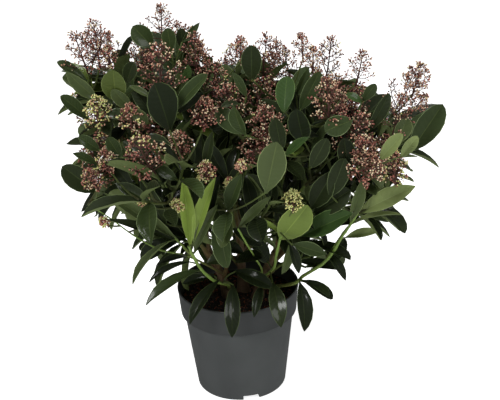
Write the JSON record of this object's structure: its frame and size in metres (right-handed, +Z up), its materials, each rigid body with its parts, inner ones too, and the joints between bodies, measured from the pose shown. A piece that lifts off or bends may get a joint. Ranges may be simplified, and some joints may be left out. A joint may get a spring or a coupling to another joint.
{
  "type": "potted skimmia",
  "caption": "Bushy evergreen shrub with glossy oval leaves and upright pink-brown heads of flower buds, in a round grey plastic nursery pot.",
  "frame": {"origin": "centre of the pot's flat underside, where it stands", "axes": "+Z up; -Y is the front, the side that carries most of the flower heads; +X is to the right seen from the front"},
  "size_m": [0.5806, 0.5357, 0.6256],
  "materials": {
    "pot_plastic": "satin moulded polypropylene",
    "compost": "rough, granular",
    "old_wood": "rough bark",
    "young_wood": "smooth green-brown bark",
    "foliage": "satin leaf"
  },
  "bodies": {
    "root": {"pot": "pot_plastic", "compost": "compost", "stem_left": "old_wood", "stem_middle": "old_wood", "stem_right": "old_wood", "bough_crest_far_left": "young_wood", "bough_crest_left": "young_wood", "bough_crest_middle": "young_wood", "bough_crest_right": "young_wood", "bough_crest_far_right": "young_wood", "bough_upper_front_left": "young_wood", "bough_upper_front_middle": "young_wood", "bough_upper_front_right": "young_wood", "bough_side_left": "young_wood", "bough_side_right": "young_wood", "bough_front_left": "young_wood", "bough_front_middle": "young_wood", "bough_front_right": "young_wood", "bough_low_left": "young_wood", "bough_low_front": "young_wood", "bough_low_right": "young_wood", "bough_back_left": "young_wood", "bough_back_middle": "young_wood", "bough_back_right": "young_wood", "bough_low_back_left": "young_wood", "bough_low_back_right": "young_wood", "bough_skirt_left": "young_wood", "bough_skirt_front": "young_wood", "bough_skirt_right": "young_wood", "leaves_crest_far_left": "foliage", "leaves_crest_left": "foliage", "leaves_crest_middle": "foliage", "leaves_crest_right": "foliage", "leaves_crest_far_right": "foliage", "leaves_upper_front_left": "foliage", "leaves_upper_front_middle": "foliage", "leaves_upper_front_right": "foliage", "leaves_side_left": "foliage", "leaves_side_right": "foliage", "leaves_front_left": "foliage", "leaves_front_middle": "foliage", "leaves_front_right": "foliage", "leaves_low_left": "foliage", "leaves_low_front": "foliage", "leaves_low_right": "foliage", "leaves_back_left": "foliage", "leaves_back_middle": "foliage", "leaves_back_right": "foliage", "leaves_low_back_left": "foliage", "leaves_low_back_right": "foliage", "leaves_skirt_left": "foliage", "leaves_skirt_front": "foliage", "leaves_skirt_right": "foliage"}
  },
  "joints": []
}
